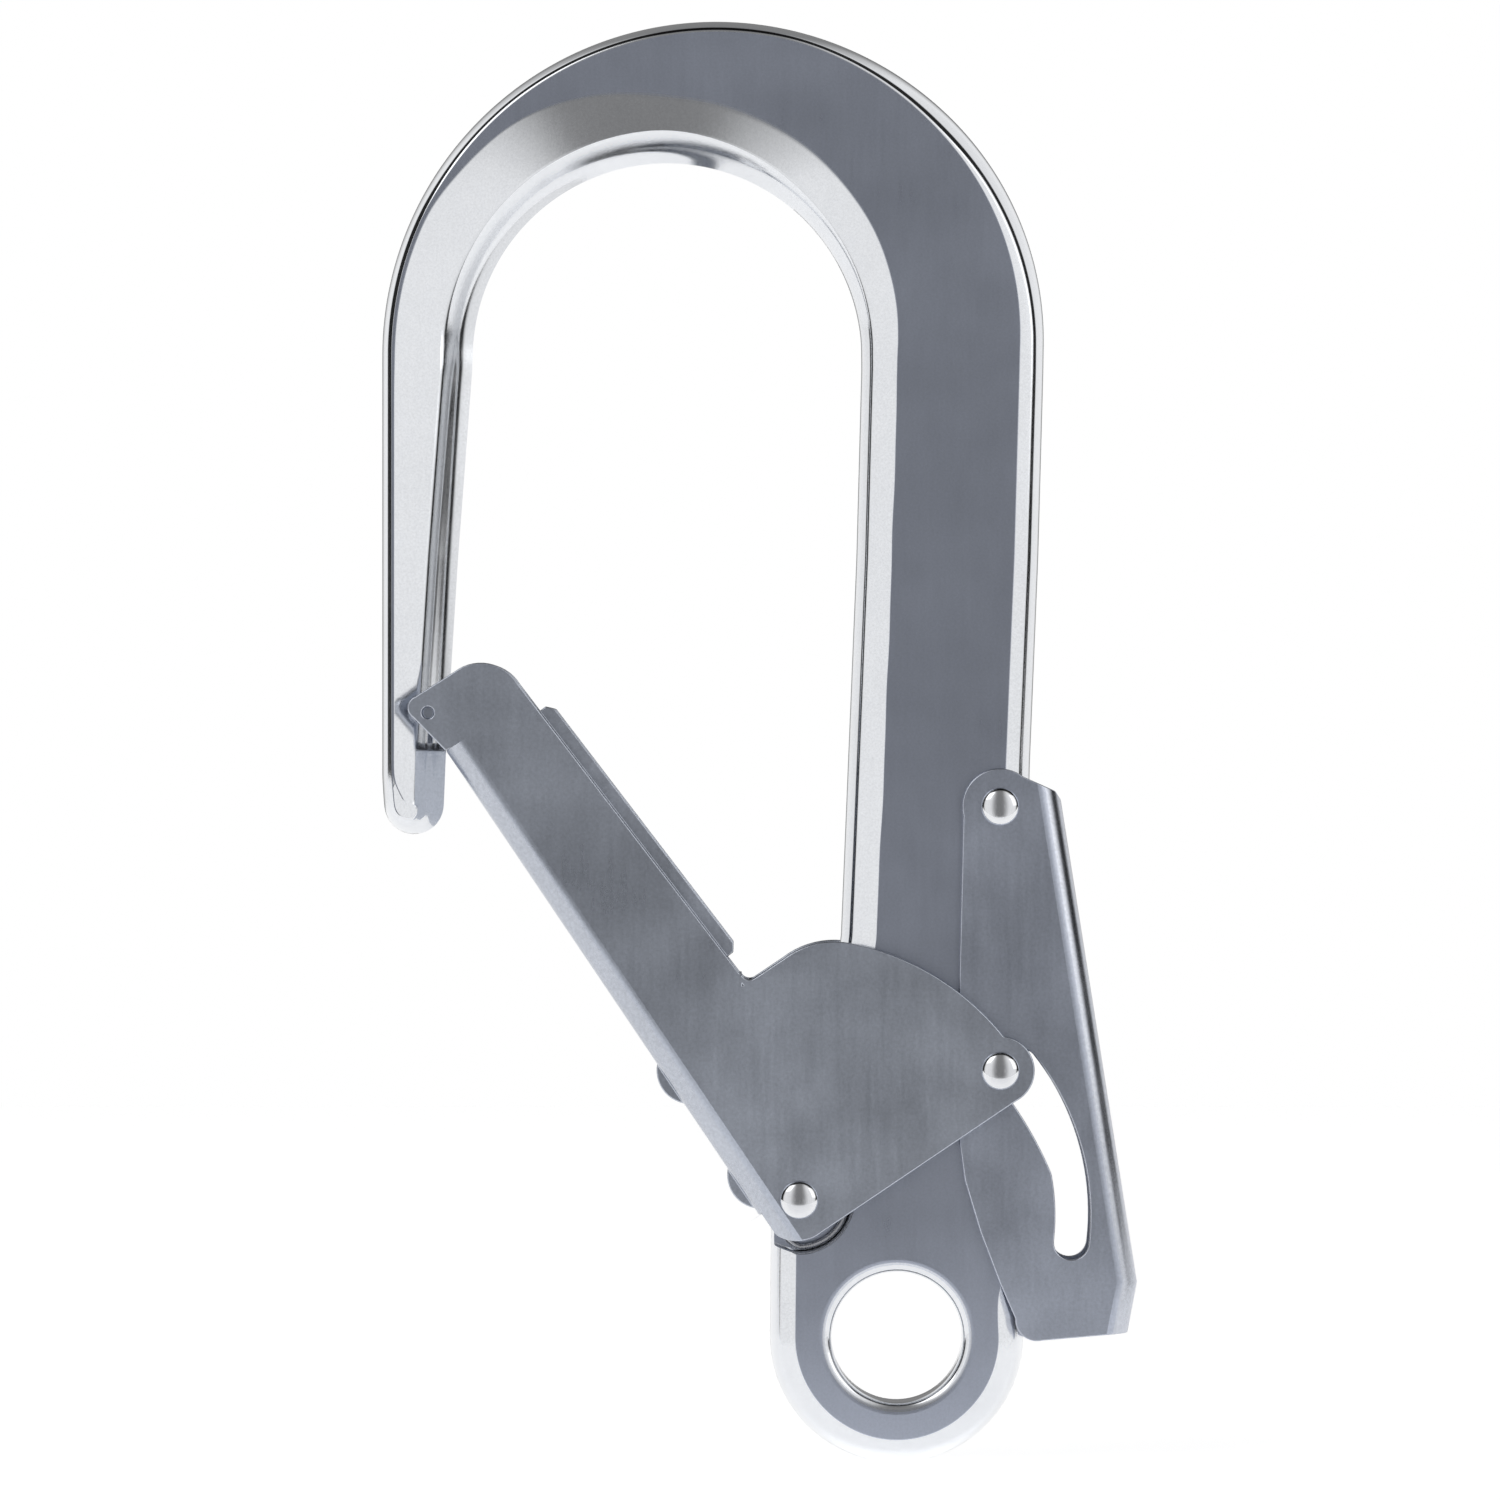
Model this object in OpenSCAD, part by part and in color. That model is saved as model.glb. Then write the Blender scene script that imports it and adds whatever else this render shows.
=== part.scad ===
// Large-opening safety snap hook: a forged hook body with an eye, a folded
// channel gate and a folded channel release lever.
// X runs across the hook, Y along the eye's axis, Z up towards the bow.
// The origin is the centre of the eye. Millimetres throughout.

/* [Hook body] */
// Half of the body's thickness
body_half = 6.5; // [5:0.1:8]
// Outer radius of the bow
bow_r = 55.65; // [50:0.05:62]
// Radius of the bow's flatter right shoulder
shoulder_r = 52.04; // [48:0.02:56]
// Inner radius of the bow
bow_inner_r = 32.4; // [26:0.1:36]
// Height of the bow's centre above the eye
bow_z = 163.3; // [150:0.1:180]
// Width of the bevel on the inner edges
bevel_w = 3.7; // [2:0.1:5]
// Depth of the bevel on the inner edges
bevel_d = 2.2; // [1:0.1:3]

/* [Eye] */
// Radius of the eye's bore
eye_r = 10.85; // [8:0.05:13]
// Outer radius of the eye
eye_outer_r = 21.1; // [17:0.1:25]
// Depth of the countersink at each mouth of the eye
eye_sink = 1.8; // [0.5:0.1:2.5]

/* [Gate] */
// Thickness of the gate's sheet
gate_t = 2; // [1.5:0.1:2.5]
// Outer radius of the gate's folds
gate_bend_r = 3.7; // [3:0.1:5]
// Radius of the gate's lobe about the pivot
gate_lobe_r = 43.4; // [42:0.1:46]
// Width of the stepped lip that stands proud of the inner edge
lip_w = 2.3; // [1:0.1:3]
// Full swing of the gate in degrees
gate_open = 42; // [20:1:42]

/* [Lever] */
// Thickness of the lever's sheet
lever_t = 1.5; // [1:0.1:1.7]
// Outer radius of the lever's folds
lever_bend_r = 3.5; // [2.5:0.1:4.5]
// Distance of the web's outer face from the pivot
lever_web_x = 10.2; // [9.5:0.1:12]
// Width of the curved slot
slot_w = 5.8; // [4.5:0.1:6.2]
// Degrees that the lever turns for one degree of the gate
lever_ratio = 0.142857; // [0.12:0.000001:0.16]

/* [Rivets] */
// Radius of the two pivot rivets
pivot_r = 2; // [1.5:0.1:2.4]
// Radius of the lock pin
lock_pin_r = 1.5; // [1:0.1:1.6]
// Radius of the domed heads
head_r = 3.15; // [2.8:0.05:4]
// Height of the domed heads
head_h = 1.45; // [1:0.05:2]

/* [Springs] */
// Radius of the gate springs' wire
gate_wire_r = 0.6; // [0.4:0.05:0.6]
// Mean radius of the gate springs' coils
gate_coil_r = 3.75; // [3.5:0.05:4.6]
// Radius of the lever spring's wire
lever_wire_r = 0.4; // [0.3:0.05:0.5]
// Mean radius of the lever spring's coils
lever_coil_r = 2.1; // [1.8:0.05:2.2]

/* [Clearances] */
// Radial clearance of a rivet in its hole
fit = 0.05; // [0.02:0.01:0.1]
// Side clearance between faces that slide past each other
side = 0.3; // [0.2:0.05:0.5]
// Clearance of the lock pin in the slot
slot_clear = 0.12; // [0.1:0.01:0.3]
// Gap between a gate spring's leg and the gate's web
web_gap = 0.65; // [0.5:0.05:1]
// Gap between the body's neck and the gate's web
neck_gap = 0.4; // [0.3:0.05:0.6]
// Depth that a straight edge lies inside the round that ends it
tuck = 0.03; // [0.02:0.01:0.1]

/* [Hidden] */
$fn = 96;

// pivots, as [x, z]
gate_pivot = [-16.25, 23];
lever_pivot = [17.1, 88.2];
lock_pin_at = [17.1, 44.4];
swing = lock_pin_at - gate_pivot;
swing_r = norm(swing);

// half distances from the middle plane of the stacked plates
lever_in = body_half + side;
lever_out = lever_in + lever_t;
gate_in = lever_out + side;
gate_out = gate_in + gate_t;

// bow
bow_c = [-30.05, bow_z];
shoulder_c = bow_c + (bow_r - shoulder_r) * [cos(45), sin(45)];
bow_inner_c = [-38.23, bow_z - 0.33];
spine_out = [[bow_c[0] + bow_r - 1.05, bow_z], [23.6, 129.25], [22.2, 95], [21.6, 66]];
spine_in = [[bow_inner_c[0] + bow_inner_r, bow_z], [-6.7, 129.25], [-9.3, 66]];
leg_out_x = bow_c[0] - bow_r;
tip_r = 5;
tip_c = [leg_out_x + tip_r + 0.3, 88.5];
leg_in = [[-70.6, bow_z], [-73.1, 129.25], [-75.1, 97], [tip_c[0] + tip_r, 89]];

// recess round the gate's pivot that holds a spring on each face
recess_r = 8.8;
recess_floor = 3.3;
neck_r = gate_coil_r + gate_wire_r + web_gap - neck_gap;
pin_path_r = swing_r - lock_pin_r - 0.6;

// gate, in its own frame: x away from the web, z along the web, pivot at the origin
gate_turn = -34;
gate_web_x = gate_coil_r + gate_wire_r + web_gap + gate_t;
gate_foot = 6.6;
gate_foot_c = [gate_foot - gate_web_x - 0.1, 0];
lock_local = [swing[0] * cos(gate_turn) - swing[1] * sin(gate_turn),
    swing[0] * sin(gate_turn) + swing[1] * cos(gate_turn)];
lock_pad_r = lock_local[1] + gate_foot;
shelf_z = 34.6;
shelf_r = 14;
shelf_c = [sqrt(pow(gate_lobe_r - shelf_r, 2) - pow(shelf_z - shelf_r, 2)), shelf_z - shelf_r];
arm_low = [12.8, 36.4];
arm_high = [9.2, 97.4];
arm_r = 7.2;
arm_c = [arm_high[0] - arm_r, 97.4];
nose_r = 1.95;
nose_c = [-6.6, 102.9];
web_low = 1.5;
web_high = 94.5;
leg_gap_x = leg_in[2][0] + side;
dimple_at = [-5.9, 101.4];
dimple_r = 1.6;
dimple_h = 1.4;
lip_low = 0.06;
lip_high = 0.9;
bump_h = 1.7;
bump_half = 4;
bump_r = (bump_half * bump_half + bump_h * bump_h) / (2 * bump_h);
bump_y = 5.5;
bumps = [6.8, 27.8];

// lever, in its own frame: x out through the web, z along the web, pivot at the origin
lever_turn = -9;
lever_top_r = 6.3;
lever_heel = [lever_web_x, -81.6];
lever_tuck = 19.7;
lever_edge = [[-11.4, -28.4], [-14.2, -46], [-15.4, -53.7], [-15.5, -60.4], [-14.3, -69.2],
    [-12.4, -78.3], [-10.8, -84.4]];
lever_foot_r = 3.6;
lever_foot_c = [-7.3, -85.1];
slot_lead = 5;
slot_c = lever_pivot + cw(gate_pivot - lever_pivot, -slot_lead);
slot_from = -6.5;
slot_to = 38.5;
slot_step = 3;

// lever spring, along the lever frame's x
spring_z = -18;
spring_seat_x = -7;
spring_hole_r = lever_coil_r + lever_wire_r + 0.25;
spring_web_x = lever_web_x - lever_t;
lever_turns = 6;

// v turned clockwise by a degrees
function cw(v, a) = [v[0] * cos(a) + v[1] * sin(a), v[1] * cos(a) - v[0] * sin(a)];

// lock pin's centre when the gate has swung by t, seen from the lever
function pin_seen(t) =
    lever_pivot + cw(gate_pivot + cw(swing, t) - lever_pivot, -lever_ratio * t);

// point of the pin's way through the lever, moved sideways by d
function pin_side(t, d) =
    let (way = pin_seen(t + 0.5) - pin_seen(t - 0.5), n = [-way[1], way[0]] / norm(way))
    pin_seen(t) + d * n;

// rings of a round wire along points p, each square to the wire; up is any side vector
function wire_rings(p, up, r, sides) = [
    for (i = [0 : len(p) - 1])
    let (
        t = p[min(i + 1, len(p) - 1)] - p[max(i - 1, 0)],
        a = cross(t, up[i]), b = cross(a, t),
        ua = a / norm(a), ub = b / norm(b)
    )
    for (k = [0 : sides - 1])
    p[i] + r * (cos(360 * k / sides) * ua + sin(360 * k / sides) * ub)
];

module wire(p, up, r, sides = 8) {
    n = len(p);
    polyhedron(
        points = wire_rings(p, up, r, sides),
        faces = concat(
            [[for (k = [0 : sides - 1]) sides - 1 - k]],
            [[for (k = [0 : sides - 1]) (n - 1) * sides + k]],
            [for (i = [0 : n - 2]) for (k = [0 : sides - 1]) for (half = [0, 1])
                let (j = (k + 1) % sides, q = (i + 1) * sides)
                half == 0 ? [i * sides + k, i * sides + j, q + j]
                    : [i * sides + k, q + j, q + k]]
        )
    );
}

// a flat outline in X and Z given a thickness from y0 to y1
module slab(y0, y1) {
    translate([0, y1, 0]) rotate([90, 0, 0]) linear_extrude(y1 - y0) children();
}

// a round bar along Y, centred at [x, z]
module bar(at, r, y0, y1) {
    translate([at[0], y0, at[1]]) rotate([-90, 0, 0]) cylinder(r = r, h = y1 - y0);
}

// the space inside a folded sheet's outside faces: web face at x = 0, half width w
module fold(w, r, deep, z0, z1) {
    translate([0, 0, z0]) linear_extrude(z1 - z0) {
        translate([-deep, -w]) square([deep - r, 2 * w]);
        translate([-deep, r - w]) square([deep, 2 * (w - r)]);
        for (s = [-1, 1]) translate([-r, s * (w - r)]) circle(r);
    }
}

// rivet through everything, with a domed head on each outer face
module rivet(at, r, y_out) {
    ball_r = (head_r * head_r + head_h * head_h) / (2 * head_h);
    bar(at, r, -y_out - 0.2, y_out + 0.2);
    for (s = [-1, 1]) intersection() {
        translate([at[0], s * (y_out + head_h - ball_r), at[1]]) sphere(ball_r);
        bar(at, head_r + 1, s > 0 ? y_out : -y_out - 3, s > 0 ? y_out + 3 : -y_out);
    }
}

module body_outline() {
    difference() {
        union() {
            intersection() {
                translate(bow_c) circle(bow_r, $fn = 200);
                translate([-150, bow_z]) square([150 + bow_c[0], 100]);
            }
            intersection() {
                translate(bow_c) circle(bow_r, $fn = 200);
                polygon([bow_c, bow_c + [100, 100], bow_c + [0, 100]]);
            }
            intersection() {
                translate(shoulder_c) circle(shoulder_r, $fn = 200);
                polygon([bow_c, bow_c + [100, 0], bow_c + [100, 100]]);
            }
            polygon(concat([[bow_c[0], bow_z + 45], [leg_out_x, bow_z], [leg_out_x, 92],
                tip_c - [tip_r, 0], tip_c], [for (i = [3 : -1 : 0]) leg_in[i]]));
            translate(tip_c) circle(tip_r);
            polygon(concat([for (i = [3 : -1 : 0]) spine_out[i]], [[bow_c[0], bow_z + 45]],
                spine_in));
        }
        intersection() {
            translate(bow_inner_c) circle(bow_inner_r, $fn = 200);
            translate([-150, bow_z]) square([300, 100]);
        }
    }
    circle(eye_outer_r);
    translate(gate_pivot) circle(neck_r);
    difference() {
        polygon([spine_in[2], gate_pivot + neck_r * [cos(165), sin(165)],
            gate_pivot - [neck_r, 0], [-eye_outer_r, 0], [eye_outer_r, 0], [20.2, 15],
            [16, 30], [15, 48], [21.5, 53], spine_out[3]]);
        intersection() {
            difference() {
                translate(gate_pivot) circle(swing_r + 20);
                translate(gate_pivot) circle(pin_path_r);
            }
            polygon([gate_pivot, gate_pivot + 80 * [cos(-14), sin(-14)],
                gate_pivot + 80 * [1, 0.3], gate_pivot + 80 * [cos(39), sin(39)]]);
        }
    }
}

module hook_body() {
    color("#8f959e") difference() {
        slab(-body_half, body_half) body_outline();
        bar([0, 0], eye_r, -20, 20);
        for (s = [-1, 1]) {
            // countersunk mouths of the eye
            translate([0, s * (body_half + 0.01), 0]) rotate([s * 90, 0, 0])
                cylinder(r1 = eye_r + eye_sink + 0.4, r2 = eye_r, h = eye_sink);
            // recess for the gate spring
            bar(gate_pivot, recess_r, s > 0 ? recess_floor : -20, s > 0 ? 20 : -recess_floor);
            // bevel round the inside of the bow
            intersection() {
                translate([bow_inner_c[0], s * (body_half + 0.01), bow_inner_c[1]])
                    rotate([s * 90, 0, 0])
                    cylinder(r1 = bow_inner_r + bevel_w, r2 = bow_inner_r, h = bevel_d);
                translate([-150, -20, bow_z]) cube([300, 40, 100]);
            }
            // bevel down the inner edge of the spine
            translate([spine_in[0][0], s * (body_half - bevel_d), bow_z + 0.01])
                rotate([0, atan2(spine_in[0][0] - spine_in[2][0], bow_z - spine_in[2][1]), 0])
                rotate([0, 0, s * atan2(bevel_d, bevel_w)])
                translate([-20, s > 0 ? 0 : -20, -105]) cube([40, 20, 105]);
            // long inclined face of the leg, which runs out into the bow
            translate([leg_out_x, s * (body_half - 0.3), 120])
                rotate([s * -0.6, 0, 0]) rotate([0, 0, s * -8])
                translate([-20, s > 0 ? 0 : -20, -60]) cube([50, 20, 100]);
        }
        bar(gate_pivot, pivot_r + fit, -20, 20);
        bar(lever_pivot, pivot_r + fit, -20, 20);
        // blind hole for the lever spring
        in_lever() translate([spring_seat_x, 0, spring_z]) rotate([0, 90, 0])
            cylinder(r = spring_hole_r, h = 40);
    }
}

// places what is drawn in the gate's frame
module in_gate() {
    translate([gate_pivot[0], 0, gate_pivot[1]]) rotate([0, gate_turn, 0]) children();
}

// places what is drawn in the lever's frame
module in_lever() {
    translate([lever_pivot[0], 0, lever_pivot[1]]) rotate([0, lever_turn, 0]) children();
}

module gate_outline() {
    translate(gate_foot_c) circle(gate_foot);
    polygon([[gate_foot_c[0] - gate_foot + tuck, 0], [gate_foot_c[0], tuck - gate_foot],
        [lock_local[0], tuck - gate_foot], [lock_local[0], 0], [20, shelf_z - tuck],
        [12, shelf_z - tuck], arm_low, arm_high - [tuck, 0],
        arm_c + [0, arm_r - tuck], nose_c + [0, nose_r - tuck],
        nose_c - [nose_r - tuck, 0], [-7.6, 97.9], [-gate_web_x, web_high]]);
    translate(arm_c) circle(arm_r);
    translate(nose_c) circle(nose_r);
    translate(lock_local) circle(lock_pad_r);
    translate(shelf_c) circle(shelf_r);
    polygon([[0, 0], shelf_c * (1 + (shelf_r - 2 * tuck) / norm(shelf_c)),
        shelf_c + [0, shelf_r - 2 * tuck], [0, shelf_z - 2 * tuck]]);
    intersection() {
        circle(gate_lobe_r, $fn = 200);
        polygon([[0, 1 - gate_foot], [lock_local[0], 1 - gate_foot], [60, lock_local[1]],
            cw(shelf_c * 2, 1.5), [0, 0]]);
    }
    // fillet where the arm meets the lobe
    difference() {
        translate([arm_low[0] - 0.6, shelf_z - 0.1]) square([2.1, 2]);
        translate([arm_low[0] + 1.6, shelf_z + 1.5]) circle(1.5);
    }
}

module lip_outline() {
    way = arm_high - arm_low;
    side_way = [way[1], -way[0]] / norm(way);
    a = arm_low + lip_low * way;
    b = arm_low + lip_high * way;
    polygon([a - side_way * 2, a + side_way * (lip_w - 1), a + side_way * lip_w + way * 0.02,
        b + side_way * lip_w - way * 0.02, b + side_way * (lip_w - 1), b - side_way * 2]);
}

module gate() {
    color("#7f858e") in_gate() difference() {
        union() {
            difference() {
                intersection() {
                    slab(-gate_out, gate_out) gate_outline();
                    union() {
                        translate([-gate_web_x, 0, 0]) mirror([1, 0, 0])
                            fold(gate_out, gate_bend_r, 80, -20, web_high);
                        translate([-20, -20, web_high]) cube([60, 40, 20]);
                    }
                }
                // inside of the channel, open at both ends
                translate([-gate_web_x + gate_t, 0, 0]) mirror([1, 0, 0])
                    fold(gate_in, gate_bend_r - gate_t, 80, web_low, 130);
                translate([-20, -gate_in, -20]) cube([90, 2 * gate_in, 20 + web_low]);
                translate([-20, -gate_in, web_high]) cube([60, 2 * gate_in, 20]);
                // web stops short of the leg
                rotate([0, -gate_turn, 0])
                    translate([leg_gap_x - gate_pivot[0] - 20, -gate_in, 60])
                    cube([20, 2 * gate_in, 40]);
            }
            for (s = [-1, 1]) {
                // stepped lip along the inner edge
                slab(s > 0 ? lever_in + 0.1 : -gate_in - 0.01, s > 0 ? gate_in + 0.01 : -lever_in - 0.1)
                    lip_outline();
                // dimple that centres the gate on the leg
                bar(dimple_at, dimple_r, s > 0 ? gate_in - dimple_h : -gate_in - 0.1,
                    s > 0 ? gate_in + 0.1 : -gate_in + dimple_h);
            }
            // grip ribs pressed out of the web
            for (z = bumps) intersection() {
                bar([-gate_web_x - bump_h + bump_r, z], bump_r, -bump_y, bump_y);
                translate([-30, -20, -20]) cube([30.1 - gate_web_x + gate_t, 40, 100]);
            }
        }
        for (z = bumps)
            bar([-gate_web_x - bump_h + bump_r, z], bump_r - gate_t, 2 - bump_y, bump_y - 2);
        for (s = [-1, 1])
            bar(dimple_at, dimple_r - 0.6, s > 0 ? gate_in - dimple_h + 0.8 : -20,
                s > 0 ? 20 : -gate_in + dimple_h - 0.8);
        bar([0, 0], pivot_r + fit, -20, 20);
        bar(lock_local, lock_pin_r + fit, -20, 20);
    }
}

module lever_outline() {
    circle(lever_top_r);
    polygon(concat([[tuck * 4 - lever_top_r, 0]], lever_edge,
        [lever_foot_c - [0, lever_foot_r - tuck], [7.3, -89.7], lever_heel, [lever_web_x, -0.5],
            [lever_web_x - 0.7, 1.1], (lever_top_r - 4 * tuck) * [cos(48), sin(48)]]));
    translate(lever_foot_c) circle(lever_foot_r);
}

module slot_outline() {
    intersection() {
        difference() {
            translate(slot_c) circle(swing_r + slot_w / 2, $fn = 200);
            translate(slot_c) circle(swing_r - slot_w / 2, $fn = 200);
        }
        polygon([slot_c, slot_c + 60 * [cos(slot_from), sin(slot_from)],
            slot_c + 70 * [cos(16), sin(16)], slot_c + 60 * [cos(slot_to), sin(slot_to)]]);
    }
    for (a = [slot_from, slot_to])
        translate(slot_c + swing_r * [cos(a), sin(a)]) circle(slot_w / 2);
    // room for the pin on its way from the notch at the top to full swing
    reach = lock_pin_r + slot_clear;
    polygon(concat([for (t = [0 : slot_step : gate_open]) pin_side(t, -reach)],
        [for (t = [gate_open : -slot_step : 0]) pin_side(t, reach)]));
    for (t = [0, gate_open]) translate(pin_seen(t)) circle(reach);
}

module lever() {
    color("#858b94") difference() {
        in_lever() difference() {
            intersection() {
                slab(-lever_out, lever_out) lever_outline();
                translate([lever_web_x, 0, 0]) fold(lever_out, lever_bend_r, 60, -100, 20);
                translate([lever_heel[0], 0, lever_heel[1]]) rotate([0, lever_tuck, 0])
                    fold(lever_out, lever_bend_r, 120, -30, 130);
            }
            intersection() {
                translate([lever_web_x - lever_t, 0, 0])
                    fold(lever_in, lever_bend_r - lever_t, 60, -100, 20);
                translate([lever_heel[0], 0, lever_heel[1]]) rotate([0, lever_tuck, 0])
                    translate([-lever_t, 0, 0])
                    fold(lever_in, lever_bend_r - lever_t, 120, -30, 130);
            }
            bar([0, 0], pivot_r + fit, -20, 20);
        }
        slab(-20, 20) slot_outline();
    }
}

module gate_pivot_rivet() {
    color("#b4b8bd") rivet(gate_pivot, pivot_r, gate_out);
}

module lever_pivot_rivet() {
    color("#b4b8bd") rivet(lever_pivot, pivot_r, lever_out);
}

module lock_pin() {
    color("#b4b8bd") rivet(lock_pin_at, lock_pin_r, gate_out);
}

// bush that carries a gate spring and keeps the gate's plate off the body
module gate_spacer() {
    difference() {
        bar(gate_pivot, gate_coil_r - gate_wire_r - 0.1, recess_floor + fit, gate_in);
        bar(gate_pivot, pivot_r + fit, 0, 20);
    }
}

module gate_spacer_front() {
    color("#9a9da1") mirror([0, 1, 0]) gate_spacer();
}

module gate_spacer_rear() {
    color("#9a9da1") gate_spacer();
}

// torsion spring: a leg along the recess wall, a clockwise coil and a leg on the web
wall_r = recess_r - gate_wire_r - 0.15;
coil_start = -165;
coil_sweep = 3 * 360 - 19;
coil_low = recess_floor + gate_wire_r + 0.05;
coil_high = gate_in - gate_wire_r - 0.25;
leg_len = 14;
web_lean = 0.1 / leg_len;

function on_ring(r, a, y) = [gate_pivot[0] + r * cos(a), y, gate_pivot[1] + r * sin(a)];

gate_spring_path = concat(
    [for (a = [-10 : -10 : -90]) on_ring(wall_r, a, coil_low)],
    [on_ring(wall_r - 0.5, -100, coil_low), on_ring(wall_r - 1.6, -107, coil_low),
        on_ring(gate_coil_r + 1, -125, coil_low)],
    [for (t = [0 : 20 : coil_sweep])
        on_ring(gate_coil_r, coil_start - t, coil_low + (coil_high - coil_low) * t / coil_sweep)],
    [for (m = [0.02, 0.5, 1]) on_ring(gate_coil_r, coil_start - coil_sweep, coil_high)
        + m * leg_len * ([sin(gate_turn), 0, cos(gate_turn)]
        - web_lean * [cos(gate_turn), 0, -sin(gate_turn)])]
);

module gate_spring() {
    wire(gate_spring_path, [for (p = gate_spring_path) [0, 1, 0]], gate_wire_r);
}

module gate_spring_front() {
    color("#6e7278") mirror([0, 1, 0]) gate_spring();
}

module gate_spring_rear() {
    color("#6e7278") gate_spring();
}

// compression spring between the blind hole in the spine and the lever's web
spring_from = spring_seat_x + lever_wire_r + 0.05;
spring_to = spring_web_x - lever_wire_r - 0.05;
turn_step = 24;

function spring_up(a) = [0, sin(a), cos(a)];

module lever_spring() {
    steps = [for (a = [0 : turn_step : 360 * lever_turns]) a];
    color("#6e7278") in_lever() translate([0, 0, spring_z]) wire(
        [for (a = steps) [spring_from + (spring_to - spring_from) * a / (360 * lever_turns), 0, 0]
            + lever_coil_r * spring_up(a)],
        [for (a = steps) spring_up(a)], lever_wire_r, 6);
}

hook_body();
gate();
lever();
gate_pivot_rivet();
lever_pivot_rivet();
lock_pin();
gate_spacer_front();
gate_spacer_rear();
gate_spring_front();
gate_spring_rear();
lever_spring();
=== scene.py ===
import math

import bmesh
import bpy
import numpy as np
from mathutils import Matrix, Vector
from mathutils.geometry import tessellate_polygon


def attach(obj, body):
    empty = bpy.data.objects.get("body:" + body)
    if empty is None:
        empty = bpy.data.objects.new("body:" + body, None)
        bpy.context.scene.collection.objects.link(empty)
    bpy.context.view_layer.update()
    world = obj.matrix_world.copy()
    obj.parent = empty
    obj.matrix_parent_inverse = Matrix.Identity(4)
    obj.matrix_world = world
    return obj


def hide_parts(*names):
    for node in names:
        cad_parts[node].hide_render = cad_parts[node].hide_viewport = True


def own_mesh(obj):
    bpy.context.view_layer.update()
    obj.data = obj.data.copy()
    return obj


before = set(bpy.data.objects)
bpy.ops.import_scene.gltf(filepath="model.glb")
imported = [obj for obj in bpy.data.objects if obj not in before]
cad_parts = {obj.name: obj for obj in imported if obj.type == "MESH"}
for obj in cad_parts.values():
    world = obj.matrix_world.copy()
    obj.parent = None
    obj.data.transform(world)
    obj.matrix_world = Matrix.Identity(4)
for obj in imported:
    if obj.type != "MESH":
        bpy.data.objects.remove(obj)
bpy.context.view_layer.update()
scene = bpy.context.scene
scene.view_settings.view_transform = "Standard"
mm = 0.001
gatePivot = (-16.25, 23.0)
leverPivot = (17.1, 88.2)
lockPinAt = (17.1, 44.4)
gateTurn = math.radians(34)      # the gate's web leans this far to the left
leverTurn = math.radians(9)      # and the lever's web this far
print("frame loaded:", sorted(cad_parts))


# ---- shapes shared by several pieces

def arc(centre, radius, start, end, step=0.8):
    # centre + radius (cos a, sin a), a in even steps from start to end degrees
    count = max(3, int(abs(math.radians(end - start)) * radius / step))
    a = np.radians(np.linspace(start, end, count))
    return np.stack([centre[0] + radius * np.cos(a), centre[1] + radius * np.sin(a)], 1)


def softCorners(corners, lengths, steps=5):
    # corners is a list of point arrays. Each inner corner C is cut by the quadratic curve
    # (1-u)^2 S + 2u(1-u) C + u^2 E, with S and E at the given length before and after C
    u = np.linspace(0, 1, steps)[:, None, None]
    rows = [corners[0][None]]
    for before, corner, after, length in zip(corners, corners[1:], corners[2:], lengths):
        back, ahead = before - corner, after - corner
        backShare = np.minimum(0.49, length / (np.linalg.norm(back, axis=1) + 1e-9))[:, None]
        aheadShare = np.minimum(0.49, length / (np.linalg.norm(ahead, axis=1) + 1e-9))[:, None]
        start, end = corner + back * backShare, corner + ahead * aheadShare
        rows.append((1 - u) ** 2 * start + 2 * u * (1 - u) * corner + u ** 2 * end)
    rows.append(corners[-1][None])
    return np.concatenate(rows)


def gridFaces(rows, columns, offset=0, closedRows=False, closedColumns=True):
    # quads between neighbouring rows and columns of a grid of vertices
    r = np.arange(rows if closedRows else rows - 1)
    c = np.arange(columns if closedColumns else columns - 1)
    r, c = [v.ravel() for v in np.meshgrid(r, c, indexing="ij")]
    r2, c2 = (r + 1) % rows, (c + 1) % columns
    quads = np.stack([r * columns + c, r * columns + c2, r2 * columns + c2, r2 * columns + c], 1)
    return (quads + offset).tolist()


def makeMesh(name, vertices, faces):
    # vertices in millimetres in the row frame, faces turned outwards
    mesh = bpy.data.meshes.new(name)
    mesh.from_pydata((np.asarray(vertices, float) * mm).tolist(), [], faces)
    turnOutwards(mesh)
    piece = bpy.data.objects.new(name, mesh)
    scene.collection.objects.link(piece)
    return piece


def turnOutwards(mesh):
    work = bmesh.new()
    work.from_mesh(mesh)
    bmesh.ops.recalc_face_normals(work, faces=work.faces)
    work.to_mesh(mesh)
    work.free()


def revolve(at, profile, sides=64, y0=0.0, turn=1):
    # surface of revolution about the Y line through at: (r cos a, y, r sin a) for each (r, y)
    # of the profile, whose ends lie on the axis
    a = np.linspace(0, 2 * np.pi, sides, endpoint=False)
    inner = np.array(profile[1:-1], float)
    ring = np.stack([at[0] + inner[:, :1] * np.cos(a), y0 + turn * inner[:, 1:] + 0 * a,
                     at[1] + inner[:, :1] * np.sin(a)], 2).reshape(-1, 3)
    ends = [[at[0], y0 + turn * profile[k][1], at[1]] for k in (0, -1)]
    vertices = np.vstack([ring, ends])
    faces = gridFaces(len(inner), sides)
    last = (len(inner) - 1) * sides
    k = np.arange(sides)
    faces += np.stack([k, (k + 1) % sides, 0 * k + len(ring)], 1).tolist()
    faces += np.stack([last + k, last + (k + 1) % sides, 0 * k + len(ring) + 1], 1).tolist()
    return vertices, faces


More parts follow.
